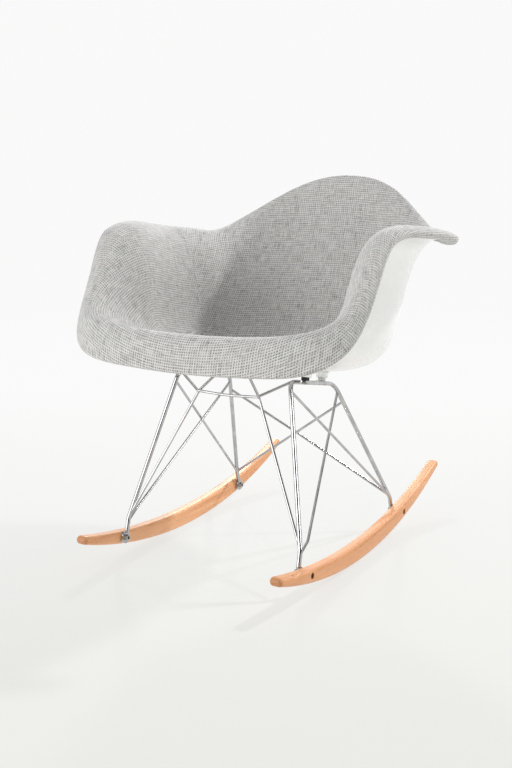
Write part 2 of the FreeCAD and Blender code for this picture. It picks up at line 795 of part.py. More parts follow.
NORMALS = face_normals()
OUTWARD = [(rim - crown).normalize() for rim, crown in zip(FACE[-1], FACE[-2])]
GAP = size("glue_gap")
FABRIC = size("fabric_thickness")
FOAM_TOP = FABRIC + GAP
SHELL_TOP = FOAM_TOP + size("foam_thickness") + GAP
SHELL_UNDER = SHELL_TOP + size("shell_thickness")
RIM_DEPTH = SHELL_UNDER + GAP + FABRIC


def at_depth(depth):
    """The rows of the face moved a depth away from the sitter."""
    rows = []
    for row, normals in zip(FACE, NORMALS):
        rows.append([pole - normal * depth for pole, normal in zip(row, normals)])
    return rows


def rim_row(depth, reach):
    """A row off the rim: a depth below the face's edge and a reach beyond it."""
    row = []
    for pole, normal, outward in zip(FACE[-1], NORMALS[-1], OUTWARD):
        row.append(pole - normal * depth + outward * reach)
    return row


def rolled_rim(depth):
    """Rows that carry a layer round the rim, from a depth below the face to the same depth from underneath."""
    overhang = size("rim_overhang")
    shoulder = (overhang - depth) * 2 / 3
    low = RIM_DEPTH - depth
    tip = rim_row(RIM_DEPTH / 2, overhang - depth)
    return [rim_row(depth, 0), rim_row(depth, shoulder), tip, rim_row(low, shoulder), rim_row(low, 0)]


def turned_edge(depth):
    """Rows from the rim to a ring a little inside it on the layer at a depth."""
    surface = skin(at_depth(depth))
    last = surface.bounds()[3]
    ring = surface.vIso(last - size("fabric_turn_under")).getPoles()
    return [rim_row(depth, 0), ring[: len(RIM)]]


def flat_cap(surface):
    """The plane disc that closes a layer's surface at the middle of the seat."""
    return Part.Face(Part.Wire(surface.vIso(0).toShape()))


def layer(upper, lower):
    """A closed solid between two sides, each a list of row sets joined end to end from the middle outwards."""
    edge = [upper[-1][-1], lower[-1][-1]]
    skins = [skin(rows) for rows in [*upper, *lower, edge]]
    faces = [surface.toShape() for surface in skins]
    faces += [flat_cap(skins[0]), flat_cap(skins[len(upper)])]
    sewn = Part.makeShell(faces)
    sewn.sewShape()
    solid = Part.makeSolid(sewn)
    if solid.Volume < 0:
        solid.reverse()
    return solid


def shape_feature(name, shape):
    """A document object that holds a shape worked out above."""
    item = doc.addObject("Part::Feature", name)
    item.Shape = shape
    return item


def make_cover():
    """The fabric: over the face, round the rim and a little way under the shell's edge."""
    under = RIM_DEPTH - FABRIC
    upper = [at_depth(0), rolled_rim(0), turned_edge(RIM_DEPTH)]
    lower = [at_depth(FABRIC), rolled_rim(FABRIC), turned_edge(under)]
    return finish(shape_feature("cover", layer(upper, lower)), "fabric_cover")


def make_foam():
    """The padding: glued to the shell's inside and wrapped over its edge."""
    shoulder, tip = rolled_rim(FOAM_TOP + GAP)[1:3]
    wrapped = [rim_row(FOAM_TOP, 0), shoulder, tip, rim_row(SHELL_UNDER, GAP)]
    foam_under = SHELL_TOP - GAP
    ledge = [rim_row(foam_under, 0), rim_row(foam_under, GAP)]
    solid = layer([at_depth(FOAM_TOP), wrapped], [at_depth(foam_under), ledge])
    return finish(shape_feature("foam", solid), "foam_liner")


def make_shell():
    """The moulded shell with a boss for each mount, and the insert's hole in each boss."""
    wall = shape_feature("shell_wall", layer([at_depth(SHELL_TOP)], [at_depth(SHELL_UNDER)]))
    inside_rows = at_depth(SHELL_TOP + size("shell_thickness") / 2)
    inside = shape_feature("shell_inside", layer([at_depth(-size("boss_reach"))], [inside_rows]))
    bosses = []
    holes = []
    for end, side, sign in FEET:
        name = f"{end}_{side}"
        base = mount_point(end, sign, PAD_TOP)
        column = cylinder(f"boss_column_{name}", "sizes.boss_diameter / 2", "sizes.boss_reach", base, RUN_UP)
        bosses.append(cut(f"boss_{name}", column, inside))
        depth = "sizes.insert_length"
        holes.append(cylinder(f"boss_hole_{name}", "sizes.insert_diameter / 2", depth, base, RUN_UP))
    moulded = fuse("shell_moulded", [wall, *bosses])
    drilled = cut("shell_drilled", moulded, fuse("boss_holes", holes))
    return finish(drilled, "seat_shell")


make_cover()
make_foam()
make_shell()

# Check everything, then write one file for each part

doc.recompute()
failed = [item.Name for item in doc.Objects if {"Invalid", "Error"} & set(item.State)]
if failed:
    raise RuntimeError(f"failed objects: {failed}")
for item in parts:
    if item.Shape.isNull() or not item.Shape.isValid() or not item.Shape.Solids:
        raise RuntimeError(f"bad shape: {item.Label}")
os.makedirs("parts", exist_ok=True)
for item in parts:
    item.Shape.exportStep(f"parts/{item.Label}.step")
    box = item.Shape.BoundBox
    heights = round(box.ZMin, 1), round(box.ZMax, 1)
    print(item.Label, len(item.Shape.Solids), "solids", round(item.Shape.Volume), "mm3", *heights)
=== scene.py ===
# %% [markdown]
# # A rocking armchair with a padded shell
# The chair is a moulded tub, padded and covered with a woven fabric, on a welded wire base with two
# beech rockers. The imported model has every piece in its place, in metres, and it stays as it is.
# Here the soft face and the shell are drawn again as smooth surfaces, and every piece gets a finish.

# %% Load the frame
import math

import bmesh
import bpy
import numpy as np
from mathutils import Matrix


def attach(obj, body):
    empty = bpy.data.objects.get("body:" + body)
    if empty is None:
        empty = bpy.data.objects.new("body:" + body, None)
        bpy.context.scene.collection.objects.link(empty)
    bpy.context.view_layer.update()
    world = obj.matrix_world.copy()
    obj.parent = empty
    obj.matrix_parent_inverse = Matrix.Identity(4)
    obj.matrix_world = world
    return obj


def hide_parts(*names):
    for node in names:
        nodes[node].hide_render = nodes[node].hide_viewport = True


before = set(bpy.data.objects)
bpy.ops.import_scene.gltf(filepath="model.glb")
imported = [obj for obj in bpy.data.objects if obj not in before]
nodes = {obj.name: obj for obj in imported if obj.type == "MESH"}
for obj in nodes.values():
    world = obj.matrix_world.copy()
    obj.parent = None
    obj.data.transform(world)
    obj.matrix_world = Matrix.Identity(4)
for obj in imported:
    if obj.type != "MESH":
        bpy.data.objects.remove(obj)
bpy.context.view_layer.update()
scene = bpy.context.scene

# %% [markdown]
# ## Camera
# The camera was worked out from the lines of the picture: it stands in front and to the sitter's left, at
# about the height of the back's top edge. The lens follows from the picture's long side of 768 pixels.

# %% Camera
AZIMUTH, ELEVATION = math.radians(29.76), math.radians(10.76)
FOCAL_PIXELS, LONG_SIDE = 995.6, 768

camera_data = bpy.data.cameras.new("photo_camera")
camera_data.sensor_width = 36.0
camera_data.lens = FOCAL_PIXELS / LONG_SIDE * camera_data.sensor_width
camera = bpy.data.objects.new("photo_camera", camera_data)
camera.location = (0.8815, -1.6183, 0.6459)
camera.rotation_euler = (math.pi / 2 - ELEVATION, 0.0, AZIMUTH)
scene.collection.objects.link(camera)
scene.camera = camera
print("lens:", round(camera_data.lens, 2), "mm")

# %% [markdown]
# ## From arrays to meshes
# Every new piece is a grid of points, worked out as one array. Neighbours in the grid make its faces, and a
# grid may close round its columns, as a tube does. A pole is a row of points in one place, which are merged,
# and then the faces are turned outwards.

# %% Grid helpers
MM_PER_METRE = 1000
MERGE_DISTANCE = 1e-7


def grid_faces(rows, columns, closed=True):
    """Quads between neighbours of a grid numbered row by row; closed joins the last column to the first."""
    r, c = np.meshgrid(np.arange(rows - 1), np.arange(columns if closed else columns - 1), indexing="ij")
    c2 = (c + 1) % columns
    corners = [r * columns + c, r * columns + c2, (r + 1) * columns + c2, (r + 1) * columns + c]
    return np.stack([corner.ravel() for corner in corners], axis=1)


print("faces of a 2 by 3 grid:", grid_faces(2, 3, closed=False).tolist())


def make_piece(name, points, faces, replaces=(), uv=None):
    """A smooth closed object from points and quads; uv gives two numbers for each corner of each quad."""
    mesh = bpy.data.meshes.new(name)
    mesh.from_pydata(np.asarray(points, float).tolist(), [], np.asarray(faces, int).tolist())
    if uv is not None:
        layer = mesh.uv_layers.new(name="weave")
        layer.data.foreach_set("uv", np.asarray(uv, float).ravel())
    knit = bmesh.new()
    knit.from_mesh(mesh)
    bmesh.ops.remove_doubles(knit, verts=knit.verts, dist=MERGE_DISTANCE)
    bmesh.ops.recalc_face_normals(knit, faces=knit.faces)
    open_edges = sum(not edge.is_manifold for edge in knit.edges)
    knit.to_mesh(mesh)
    knit.free()
    mesh.polygons.foreach_set("use_smooth", np.ones(len(mesh.polygons), bool))
    mesh.update()
    piece = bpy.data.objects.new(name, mesh)
    scene.collection.objects.link(piece)
    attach(piece, "root")
    if replaces:
        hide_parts(*replaces)
    print(name, len(mesh.vertices), "points", len(mesh.polygons), "faces", open_edges, "open edges")
    return piece


# %% [markdown]
# ## The padded face
# The tub is one smooth surface: a flat oval in the middle of the seat, a bowl round it, walls that flare out,
# a crown and a rim. It could be sculpted, but a few rings keep it even on both sides. Each ring is closed
# and goes through a few points, and the rows of rings are the poles of a spline surface. A spline is
# chosen because the real mould has no creases.

# %% Rings of the face, in millimetres
RIM_LEFT = np.array([
    (0, -318, 370), (120, -313, 373), (213, -297, 384), (267, -248, 425), (280, -193, 507), (286, -145, 577),
    (303, -55, 589), (315, 66, 578), (281, 153, 569), (220, 202, 586), (111, 279, 657), (0, 299, 683)], float)
SEAT_MIDDLE_Y, SEAT_HEIGHT, SEAT_FALL = -37.0, 345.0, math.tan(math.radians(10.4))
SEAT_UP = np.array([0, SEAT_FALL, 1]) / math.hypot(SEAT_FALL, 1)
UP = np.array([0, 0, 1.0])


def whole_ring(left):
    """A ring from its left half, whose first and last points lie on the mirror plane."""
    return np.concatenate([left, left[-2:0:-1] * [-1, 1, 1]])


def heading(points):
    """Unit directions in plan from the middle of the seat."""
    flat = (points - [0, SEAT_MIDDLE_Y, 0]) * [1, 1, 0]
    return flat / np.linalg.norm(flat, axis=1, keepdims=True)


def oval_ring(rim, half_width, front, rear, power):
    """Oval on the tilted seat plane: the shares of its half width and depth, to the power, add up to one."""
    way = heading(rim)
    depth = np.where(way[:, 1] < 0, front, rear)
    reach = (np.abs(way[:, 0] / half_width) ** power + np.abs(way[:, 1] / depth) ** power) ** (-1 / power)
    x, dy = way[:, 0] * reach, way[:, 1] * reach
    return np.stack([x, SEAT_MIDDLE_Y + dy, SEAT_HEIGHT - dy * SEAT_FALL], axis=1)


def spline_poles(ring):
    """Poles of the closed cubic spline through a ring: a point is 1/6, 4/6 and 1/6 of three poles."""
    n = len(ring)
    blend = (4 * np.eye(n) + np.roll(np.eye(n), 1, 1) + np.roll(np.eye(n), -1, 1)) / 6
    return np.linalg.solve(blend, ring)


RIM = whole_ring(RIM_LEFT)
print("rim points:", len(RIM))

# %% [markdown]
# ## Crown, flare and bowl
# Inside the rim, the crown and the flare are the rim moved in and up, by amounts of their own on the front
# lip, the arms and the back. Up the front edge of an arm, and where it meets the back, they are blended.
# The bowl rises a little more towards the front.

# %% Poles of the face
# In and up to the crown, then in and up to the flare.
LIP, ARM, BACK = (13, 60, 47, 52), (27, 18, 80, -11), (14, -20, 17, -70)
# Half width, reach to the front, reach to the rear, power.
FLAT_OVAL, PAN_OVAL, BOWL_OVAL = (50, 50, 50, 2), (95, 85, 95, 2), (206, 168, 194, 2.2)
BOWL_LIFT, FRONT_LIFT, WALL_SHARE = 4, 18, 0.45

arm_share = (RIM_LEFT[3:5, 2] - RIM_LEFT[0, 2]) / (RIM_LEFT[5, 2] - RIM_LEFT[0, 2])
shares = np.zeros((len(RIM_LEFT), 3))
shares[:3, 0] = 1
shares[3:5, 0], shares[3:5, 1] = 1 - arm_share, arm_share
shares[5:9, 1] = 1
shares[9] = (0, 0.5, 0.5)
shares[10:, 2] = 1
rolls = shares @ np.array([LIP, ARM, BACK], float)
rolls = np.concatenate([rolls, rolls[-2:0:-1]])
crown = RIM - heading(RIM) * rolls[:, 0:1] + UP * rolls[:, 1:2]
flare = RIM - heading(RIM) * rolls[:, 2:3] + UP * rolls[:, 3:4]
bowl = oval_ring(RIM, *BOWL_OVAL)
bowl = bowl + UP * (BOWL_LIFT + FRONT_LIFT * np.maximum(0, -heading(bowl)[:, 1:2]))
rings = (oval_ring(RIM, *FLAT_OVAL), oval_ring(RIM, *PAN_OVAL), bowl, flare, crown, RIM)
flat_poles, pan_poles, bowl_poles, flare_poles, crown_poles, rim_poles = map(spline_poles, rings)
wall_poles = bowl_poles + WALL_SHARE * (flare_poles - bowl_poles)
FACE = np.stack([flat_poles, pan_poles, bowl_poles, wall_poles, flare_poles, crown_poles, rim_poles])
print("face poles:", FACE.shape)

# %% [markdown]
# ## Spline weights
# A point of a spline surface is a weighted sum of its poles. Round the seat the weights repeat; from the
# middle outwards they start and end exactly on the first and last ring. With the weights as two matrices,
# the whole grid is two matrix products.

# %% Spline surface
AROUND, FINE_ROWS = 352, 161
LAST_SPAN_EDGE, NO_LENGTH = 1e-9, 1e-12


def round_weights(count, steps):
    """Weights of a closed cubic spline at even places round it.

    A place lies between two poles. Four neighbours share it, each by a cubic of its fraction of the span.
    """
    place = np.arange(steps) * count / steps
    span = np.floor(place).astype(int)
    f = place - span
    parts = [(1 - f) ** 3, 3 * f**3 - 6 * f**2 + 4, -3 * f**3 + 3 * f**2 + 3 * f + 1, f**3]
    weights = np.zeros((steps, count))
    for shift, part in zip((-1, 0, 1, 2), parts):
        np.add.at(weights, (np.arange(steps), (span + shift) % count), part / 6)
    return weights


def clamped_weights(count, places):
    """Weights of a cubic spline clamped at both ends, at places from 0 to 1.

    Each degree blends two neighbours of the degree below it, one rising and one falling over its spans.
    """
    degree = min(3, count - 1)
    spans = count - degree
    knots = np.concatenate([np.zeros(degree), np.arange(spans + 1), np.full(degree, spans)]).astype(float)
    place = np.clip(np.asarray(places, float) * spans, 0, spans - LAST_SPAN_EDGE)[:, None]
    weights = ((knots[:-1] <= place) & (place < knots[1:])).astype(float)
    for d in range(1, degree + 1):
        low, high = knots[: -d - 1], knots[d + 1 :]
        rising = np.divide(place - low[None], knots[d:-1] - low, where=knots[d:-1] > low,
                           out=np.zeros((len(place), len(low))))
        falling = np.divide(high[None] - place, high - knots[1:-d], where=high > knots[1:-d],
                            out=np.zeros((len(place), len(low))))
        weights = rising[:, : weights.shape[1] - 1] * weights[:, :-1] + falling * weights[:, 1:]
    return weights


def surface(poles, places, steps):
    """Grid of points, a row for each place from the middle outwards, steps points round the seat."""
    outwards = clamped_weights(len(poles), places)
    around = round_weights(poles.shape[1], steps)
    return np.einsum("pr,rck,sc->psk", outwards, poles, around)


def facing(grid):
    """Unit normals towards the sitter: the cross product of the steps round the grid and across it."""
    across = np.gradient(grid, axis=0)
    around = np.roll(grid, -1, axis=1) - np.roll(grid, 1, axis=1)
    normal = np.cross(around, across)
    normal /= np.linalg.norm(normal, axis=2, keepdims=True) + NO_LENGTH
    return normal * np.sign(np.sum(normal[0] * SEAT_UP))


print("weights halfway to the rim:", clamped_weights(len(FACE), [0.5]).round(3)[0].tolist())

# %% [markdown]
# ## Which way the face looks
# The layers under the face need a normal at each pole. Poles lie off the surface, so each takes the normal of
# the surface point nearest to it. The two inner rings lie on the flat seat and take its normal.

# %% Normals at the poles
fine = surface(FACE, np.linspace(0, 1, FINE_ROWS), AROUND)
cloud = fine.reshape(-1, 3)
poles = FACE.reshape(-1, 3)
distance = (poles**2).sum(1)[:, None] - 2 * poles @ cloud.T + (cloud**2).sum(1)[None]
NORMALS = facing(fine).reshape(-1, 3)[distance.argmin(1)].reshape(FACE.shape)
NORMALS[:2] = SEAT_UP
OUTWARD = FACE[-1] - FACE[-2]
OUTWARD /= np.linalg.norm(OUTWARD, axis=1, keepdims=True)
print("rim height:", fine[-1, :, 2].min().round(1), "to", fine[-1, :, 2].max().round(1), "mm")

# %% [markdown]
# ## Layers
# Fabric, foam and shell lie one under the other. Each is the face moved a set depth away from the sitter, so
# they follow one another everywhere. The fabric and the foam are glued together and make one padded piece,
# which is turned round the shell's edge and ends a little way under it. A cloth simulation would only lift
# it off the stiff shell, so it isn't used here.

# %% Layer helpers
FABRIC, FOAM, SHELL, GLUE, OVERHANG = 1.7, 6.0, 4.0, 0.3, 7.0
SHELL_TOP = FABRIC + GLUE + FOAM + GLUE
SHELL_UNDER = SHELL_TOP + SHELL
RIM_DEPTH = SHELL_UNDER + GLUE + FABRIC
# The part of the way from the middle to the rim that is turned under: a quarter of the last of four spans.
TURN_UNDER = 0.25 / 4
print("shell from", round(SHELL_TOP, 2), "to", round(SHELL_UNDER, 2), "mm under the face")


def layer_rows(depth, first, last, rows, around=AROUND):
    """Rows of the face moved a depth away from the sitter, from one place on it to another."""
    return surface(FACE - NORMALS * depth, np.linspace(first, last, rows), around)


def rim_row(depth, reach):
    """Poles a depth below the face's edge and a reach beyond it."""
    return FACE[-1] - NORMALS[-1] * depth + OUTWARD * reach


def to_middle(ring, steps):
    """Rows that shrink a flat ring to a point at its middle, the point first."""
    middle = ring.mean(axis=0)
    share = np.linspace(0, 1, steps + 1)[:-1, None, None]
    return middle + (ring - middle)[None] * share


# %% Rows of the padded face
top = layer_rows(0, 0, 1, rows=150)
top = np.concatenate([to_middle(top[0], 12), top])
roll_poles = np.stack([rim_row(0, 0), rim_row(0, OVERHANG * 2 / 3), rim_row(RIM_DEPTH / 2, OVERHANG),
                       rim_row(RIM_DEPTH, OVERHANG * 2 / 3), rim_row(RIM_DEPTH, 0)])
roll = surface(roll_poles, np.linspace(0, 1, 22)[1:], AROUND)
tuck = layer_rows(RIM_DEPTH, 1, 1 - TURN_UNDER, rows=8)[1:]
outside = np.concatenate([top, roll, tuck])
hem = layer_rows(RIM_DEPTH - FABRIC, 1 - TURN_UNDER, 1, rows=6)
lip_poles = np.stack([rim_row(RIM_DEPTH - FABRIC, GLUE), rim_row(SHELL_TOP - GLUE, GLUE)])
lip = surface(lip_poles, np.linspace(0, 1, 3), AROUND)
lining = layer_rows(SHELL_TOP - GLUE, 1, 0, rows=40)
inside = np.concatenate([hem, lip, lining, to_middle(lining[-1], 4)[::-1]])
print("padded face rows:", len(outside), "outside", len(inside), "inside")

# %% [markdown]
# ## How the cloth lies
# On the seat the threads run straight from side to side and from front to back. On the walls they run
# round the tub and up it. Round the tub they keep their distance from the turn of the bowl. Those that go up
# start square to the middle of the front, of an arm or of the back, and meet in the corners. On the walls
# both sets are lengths along the surface, in metres, so the weave keeps its size there.

# %% Thread coordinates
# Rows of the grid at the turn of the bowl and halfway up the wall, and columns at the left corners.
TURN_ROW, MIDDLE_ROW = 62, 110
FRONT_CORNER, BACK_CORNER = 44, 118
# Zones round the tub: front, left arm, back, right arm, and the front again.
ZONE_ENDS = [FRONT_CORNER, BACK_CORNER, AROUND - BACK_CORNER, AROUND - FRONT_CORNER, AROUND]
ZONE_MIDDLES = np.array([0, AROUND // 4, AROUND // 2, AROUND * 3 // 4, AROUND])
print("columns where the zones end:", ZONE_ENDS)


def thread_lengths():
    """Lengths round each row from the row's start, and up each column from the turn of the bowl."""
    closed = np.concatenate([outside, outside[:, :1]], axis=1)
    around = np.linalg.norm(np.diff(closed, axis=1), axis=2).cumsum(axis=1)
    around = np.pad(around, ((0, 0), (1, 0)))
    outward = np.linalg.norm(np.diff(closed, axis=0, prepend=closed[:1]), axis=2).cumsum(axis=0)
    return around, outward - outward[TURN_ROW]


def cloth_corners(faces):
    """Thread coordinates at each quad's corners: x and y on the seat, lengths round and up on the walls.

    A length round counts from the middle of its zone, and that middle lies where the middle row has it.
    """
    around, outward = thread_lengths()
    row, column = np.divmod(faces, AROUND)
    column = np.where((column == 0) & (column.max(1, keepdims=True) == AROUND - 1), AROUND, column)
    row = np.minimum(row, len(outside) - 1)
    zone = np.searchsorted(ZONE_ENDS, column.min(1), side="right")
    middle = ZONE_MIDDLES[zone][:, None]
    sideways = around[row, column] - around[row, middle] + around[MIDDLE_ROW, middle % AROUND]
    wall = np.stack([sideways, outward[row, column]], axis=2)
    flat = outside[row, column % AROUND, :2]
    return np.where((row.min(1) < TURN_ROW)[:, None, None], flat, wall) / MM_PER_METRE


# %% Padded face piece
section = np.concatenate([outside, inside]) / MM_PER_METRE
pad_faces = grid_faces(len(section), AROUND)
pad = make_piece("padded_face", section.reshape(-1, 3), pad_faces,
                 ("fabric_cover", "foam_liner"), cloth_corners(pad_faces))

# %% [markdown]
# ## The shell
# Only the outside of the shell shows: a smooth glossy wall under the padding. It is drawn from the same face,
# at its two depths, and closed at the edge. Four round bosses below it take the screws. Each is a profile
# turned about the screw's axis, which stands square to the seat, and its top goes into the wall.

# %% Shell wall and boss helpers
SHELL_AROUND, BOSS_AROUND = 264, 40
# In millimetres: the front end of the wire's run, the screws in plan, the foot above the run's axis, and
# then the radii and heights of a boss.
RUN_FRONT_Y, RUN_FRONT_HEIGHT = -157, 336
MOUNTS = np.array([(124.6, -126.0), (-124.6, -126.0), (100.4, -13.0), (-100.4, -13.0)])
BOSS_FOOT, FOOT_GAP = 10, 0.05
BORE, BORE_DEPTH = 5.2, 3.0
BOSS, BOSS_FLARE, BOSS_ROOT = 11, 12, 14
EDGE_IN, EDGE_UP = 0.6, 0.65
FLARE_START, FLARE_MIDDLE, ROOT_DEPTH = 2.0, 0.4, 1.5

outer = layer_rows(SHELL_UNDER, 0, 1, 90, SHELL_AROUND)
inner = layer_rows(SHELL_TOP, 1, 0, 50, SHELL_AROUND)
shell_grid = np.concatenate([to_middle(outer[0], 6), outer, inner, to_middle(inner[-1], 4)[::-1]])
shell_cloud = outer.reshape(-1, 3)
print("shell rows:", len(shell_grid))


def mount_points(rise):
    """Points of the four screw axes, at a rise square to the straight run of the wire under them."""
    run_height = RUN_FRONT_HEIGHT - (MOUNTS[:, 1] - RUN_FRONT_Y) * SEAT_FALL
    return np.column_stack([MOUNTS, run_height]) + SEAT_UP * rise


def lathe(base, axis, side, profile):
    """Surface of revolution: for each radius and height of the profile a circle about the axis."""
    radii, heights = np.array(profile).T
    turn = np.linspace(0, 2 * math.pi, BOSS_AROUND, endpoint=False)
    circle = np.cos(turn)[:, None] * side + np.sin(turn)[:, None] * np.cross(axis, side)
    return base + heights[:, None, None] * axis + radii[:, None, None] * circle[None]


def boss_grid(base):
    """A boss from its foot, which has a bore, up to where the shell is nearest, and on into the wall."""
    along = (shell_cloud - base) @ SEAT_UP
    off = np.linalg.norm(shell_cloud - base - along[:, None] * SEAT_UP, axis=1)
    reach = along[off < BOSS_ROOT].min()
    bore = [(0, BORE_DEPTH), (BORE, BORE_DEPTH), (BORE, FOOT_GAP)]
    wall = [(BOSS - EDGE_IN, FOOT_GAP), (BOSS, FOOT_GAP + EDGE_UP), (BOSS, reach - FLARE_START)]
    root = [(BOSS_FLARE, reach - FLARE_MIDDLE), (BOSS_ROOT, reach + ROOT_DEPTH), (0, reach + ROOT_DEPTH)]
    return lathe(base, SEAT_UP, np.array([1.0, 0, 0]), bore + wall + root)


# %% Shell piece
grids = [shell_grid] + [boss_grid(base) for base in mount_points(BOSS_FOOT)]
points = np.concatenate([grid.reshape(-1, 3) for grid in grids]) / MM_PER_METRE
starts = np.cumsum([0] + [grid.shape[0] * grid.shape[1] for grid in grids[:-1]])
faces = np.concatenate([grid_faces(*grid.shape[:2]) + start for grid, start in zip(grids, starts)])
shell = make_piece("shell_moulding", points, faces, ("seat_shell",))

# %% [markdown]
# ## Finishes
# Each finish is worked out from numbers on the surface. A small class wraps a socket, so that a sum or a
# product of sockets is written as Python arithmetic, and one method makes any other node.

# %% Finish helpers
class Flow:
    """A socket's value; arithmetic on it adds Math nodes."""

    def __init__(self, finish, socket):
        self.finish, self.socket = finish, socket

    def math(self, operation, *inputs):
        """A Math node's result for the inputs in turn."""
        return self.finish.node("ShaderNodeMath", {"operation": operation}, dict(enumerate(inputs)))

    def __add__(self, other):
        return self.math("ADD", self, other)

    def __sub__(self, other):
        return self.math("SUBTRACT", self, other)

    def __rsub__(self, other):
        return self.math("SUBTRACT", other, self)

    def __mul__(self, other):
        return self.math("MULTIPLY", self, other)

    __radd__, __rmul__ = __add__, __mul__

    def cosine(self):
        """The cosine of the value, taken as an angle in radians."""
        return self.math("COSINE", self)

    def larger(self, other):
        """The larger of two values."""
        return self.math("MAXIMUM", self, other)

    def smooth(self, low, high):
        """0 below low, 1 above high, and smooth between."""
        inputs = {"Value": self, "From Min": low, "From Max": high}
        return self.finish.node("ShaderNodeMapRange", {"interpolation_type": "SMOOTHSTEP"}, inputs)


class Nodes:
    """A node tree under construction."""

    def __init__(self, tree):
        self.tree = tree

    def node(self, kind, settings=None, inputs=None, out=0):
        """Makes a node, sets it, fills its sockets with links or numbers, and returns one output."""
        made = self.tree.nodes.new(kind)
        for key, value in (settings or {}).items():
            setattr(made, key, value)
        for key, value in (inputs or {}).items():
            if isinstance(value, Flow):
                self.tree.links.new(value.socket, made.inputs[key])
            else:
                made.inputs[key].default_value = value
        return Flow(self, made.outputs[out])

    def mix(self, share, first, second):
        """The first colour where the share is 0, the second where it is 1."""
        inputs = {0: share, 6: first, 7: second}
        return self.node("ShaderNodeMix", {"data_type": "RGBA"}, inputs, out=2)


class Finish(Nodes):
    """A material: its constants are set on the shader, and what changes over the surface is linked to it."""

    def __init__(self, name, **constants):
        self.material = bpy.data.materials.new(name)
        self.material.use_nodes = True
        super().__init__(self.material.node_tree)
        self.shader = self.tree.nodes["Principled BSDF"]
        for socket, value in constants.items():
            self.shader.inputs[socket.replace("_", " ")].default_value = value

    def place(self, turn=(0, 0, 0), scale=(1, 1, 1), uv=None):
        """Object coordinates, or the named UV map, turned and scaled."""
        if uv:
            source = self.node("ShaderNodeUVMap", {"uv_map": uv})
        else:
            source = self.node("ShaderNodeTexCoord", out="Object")
        return self.node("ShaderNodeMapping", None, {"Vector": source, "Rotation": turn, "Scale": scale})

    def axis(self, where, name):
        """One coordinate of a place, by its name: X, Y or Z."""
        return self.node("ShaderNodeSeparateXYZ", None, {0: where}, out=name)

    def noise(self, where, scale=1.0, detail=3.0, roughness=0.5):
        """Smooth noise about a half, with scale bumps to each unit of the place and finer ones on them."""
        inputs = {"Vector": where, "Scale": scale, "Detail": detail, "Roughness": roughness}
        return self.node("ShaderNodeTexNoise", None, inputs)

    def wear(self, height=None, depth=0.001, **sockets):
        """Links what changes over the surface; height makes a bump that is depth metres deep."""
        for socket, value in sockets.items():
            self.tree.links.new(value.socket, self.shader.inputs[socket.replace("_", " ")])
        if height is not None:
            bump = self.node("ShaderNodeBump", None, {"Height": height, "Distance": depth, "Strength": 1.0})
            self.tree.links.new(bump.socket, self.shader.inputs["Normal"])
        return self.material


def dress(material, *pieces):
    """Gives pieces their finish."""
    for piece in pieces:
        piece.data.materials.clear()
        piece.data.materials.append(material)
    print(material.name, "on", ", ".join(piece.name for piece in pieces))


# %% [markdown]
# ## Woven fabric
# The cloth is a plain weave of thick, uneven threads, pale ones with grey ones between. Threads could be
# modelled one by one, but there are too many, so a material shows them. Two sets of waves stand for the two
# thread directions, and streaks along each thread make it thicker and thinner. Where a thick thread lies
# on top the cloth is light; in the gaps it is dark, partly from the grey threads and partly from painted
# shade between the threads.

# %% Weave
THREAD, SLUB, SLUB_LENGTH, WAVER = 0.0044, 0.0023, 0.026, 2.4
# The gap grey is partly the grey yarn and partly painted shade between the threads.
GAP_GREY_AND_SHADE, THREAD_PALE = (0.20, 0.195, 0.19, 1), (0.68, 0.675, 0.66, 1)


def thread_wave(length, shift):
    """A wave from 0 to 1 as long as a thread is wide: half a cosine and a half, moved by the shift."""
    return (length * (2 * math.pi / THREAD) + shift).cosine() * 0.5 + 0.5


weave = Finish("woven_upholstery", Roughness=0.9, Sheen_Weight=0.2, Sheen_Roughness=0.5)
cloth_place = weave.place(uv="weave")
long_place = weave.place(uv="weave", scale=(1 / SLUB, 1 / SLUB_LENGTH, 1))
cross_place = weave.place(uv="weave", scale=(1 / SLUB_LENGTH, 1 / SLUB, 1))
waver = weave.noise(cloth_place, scale=60.0, roughness=0.6) - 0.5
long_slub = weave.noise(long_place, detail=2.0, roughness=0.6)
cross_slub = weave.noise(cross_place, detail=2.0, roughness=0.6)
fleck = weave.noise(cloth_place, scale=520.0, detail=2.0, roughness=0.6)
shade = weave.noise(cloth_place, scale=7.0, detail=2.0)
warp_wave = thread_wave(weave.axis(cloth_place, "X"), waver * WAVER)
weft_wave = thread_wave(weave.axis(cloth_place, "Y"), waver * -WAVER)
height = (warp_wave * (0.4 + 1.2 * long_slub)).larger(weft_wave * (0.4 + 1.2 * cross_slub))
streak = (long_slub + cross_slub - 1.0) * 1.2
# Painted shade: the tone follows the thread height, so the gaps between the threads come out darker; the
# streaks, flecks and slow patches are the yarn's own tone.
tone = streak + (height - 0.6) + (fleck - 0.5) * 0.6 + (shade - 0.5) * 0.15 + 0.55
colour = weave.mix(tone.smooth(-0.15, 1.1), GAP_GREY_AND_SHADE, THREAD_PALE)
dress(weave.wear(Base_Color=colour, height=height + streak * 0.4 + fleck * 0.4, depth=0.00022), pad)

# %% [markdown]
# ## Glossy plastic
# The shell is white and glossy. An even white would look like paint, so a slow noise gives it the faint
# waviness of a moulding, and a fine one a slightly uneven gloss.

# %% White shell
SHELL_WHITES = (0.91, 0.92, 0.90, 1), (0.94, 0.945, 0.93, 1)

plastic = Finish("white_moulding", Coat_Weight=0.25, Coat_Roughness=0.08)
shell_place = plastic.place()
ripple = plastic.noise(shell_place, scale=26.0, detail=2.0)
speck = plastic.noise(shell_place, scale=900.0, detail=2.0)
plastic_colour = plastic.mix(ripple.smooth(0.3, 0.7), *SHELL_WHITES)
dress(plastic.wear(Base_Color=plastic_colour, Roughness=0.2 + ripple * 0.08 + speck * 0.04,
                   height=ripple + speck * 0.03, depth=0.0006), shell)
